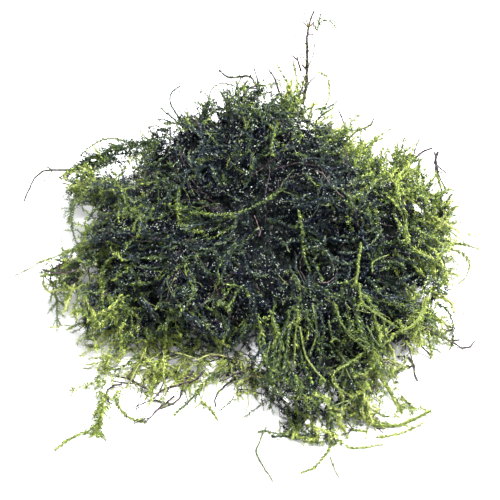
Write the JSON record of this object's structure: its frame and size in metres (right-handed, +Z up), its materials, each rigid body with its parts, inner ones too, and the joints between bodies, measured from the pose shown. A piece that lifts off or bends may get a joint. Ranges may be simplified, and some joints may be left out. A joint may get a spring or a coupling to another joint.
{
  "type": "moss clump",
  "caption": "Loose clump of wet trailing moss: a low domed mat of tangled shoots with feathery leafy shoots and thin bare stems straying from its edges, resting flat.",
  "frame": {"origin": "on the resting surface, at the middle of the clump's flat underside", "axes": "+Z up, out of the resting surface; the clump is seen from -Y in the picture, with +X to its right"},
  "size_m": [0.1294, 0.1234, 0.0502],
  "materials": {
    "moss": "wet, dark tangle of leafy shoots, nearly black-green inside",
    "green": "wet leafy shoot, mid green, translucent leaves",
    "pale": "wet leafy shoot, pale yellow-green, translucent leaves",
    "brown": "bare stem, dark olive brown, damp"
  },
  "bodies": {
    "root": {"moss_mat": "moss", "tall_sprig": "green", "tall_sprig_twig": "brown", "tall_sprig_arm": "pale", "back_pale_shoot_left": "pale", "back_pale_shoot_right": "pale", "back_dark_stem": "brown", "back_hooked_shoot": "pale", "back_bent_shoot": "green", "back_right_curl": "brown", "back_right_pale_shoot": "pale", "top_left_wave": "green", "top_dark_twig": "brown", "upper_left_hook": "brown", "upper_left_arc": "green", "upper_left_long_shoot": "brown", "left_edge_stem": "green", "left_long_shoot": "pale", "left_brown_stem": "brown", "left_dangling_tuft": "green", "right_upper_shoot": "green", "brown_twig_arch": "brown", "brown_twig_drop": "brown", "right_rim_hook": "green", "right_edge_shoot": "pale", "right_loop": "pale", "right_lower_arc": "green", "right_low_dark_stem": "brown", "lower_right_thin_stem": "brown", "lower_right_spur": "pale", "lower_right_pale_trunk": "pale", "lower_right_pale_fork": "pale", "lower_right_long_shoot": "pale", "lower_right_outer_shoot": "pale", "bottom_pale_sweep": "pale", "bottom_pale_arc": "pale", "bottom_shoot": "green", "bottom_right_fork": "pale", "bottom_thin_shoot": "pale", "bottom_dark_sprig": "green", "front_dark_stem": "brown", "front_long_stem": "green", "front_pale_fork": "pale", "front_dark_arc": "brown", "front_dark_crossing": "brown", "front_left_pale_arc": "pale", "front_left_thin_stem": "brown", "front_left_dark_shoot": "green", "front_left_leafy_arm": "pale", "front_left_tuft": "pale", "front_left_tail": "pale", "across_left": "green", "across_middle": "green", "across_top": "green", "right_pale_shoot": "pale", "right_pale_branch": "pale", "right_pale_bundle": "pale", "front_hollow_shoot": "pale"}
  },
  "joints": []
}
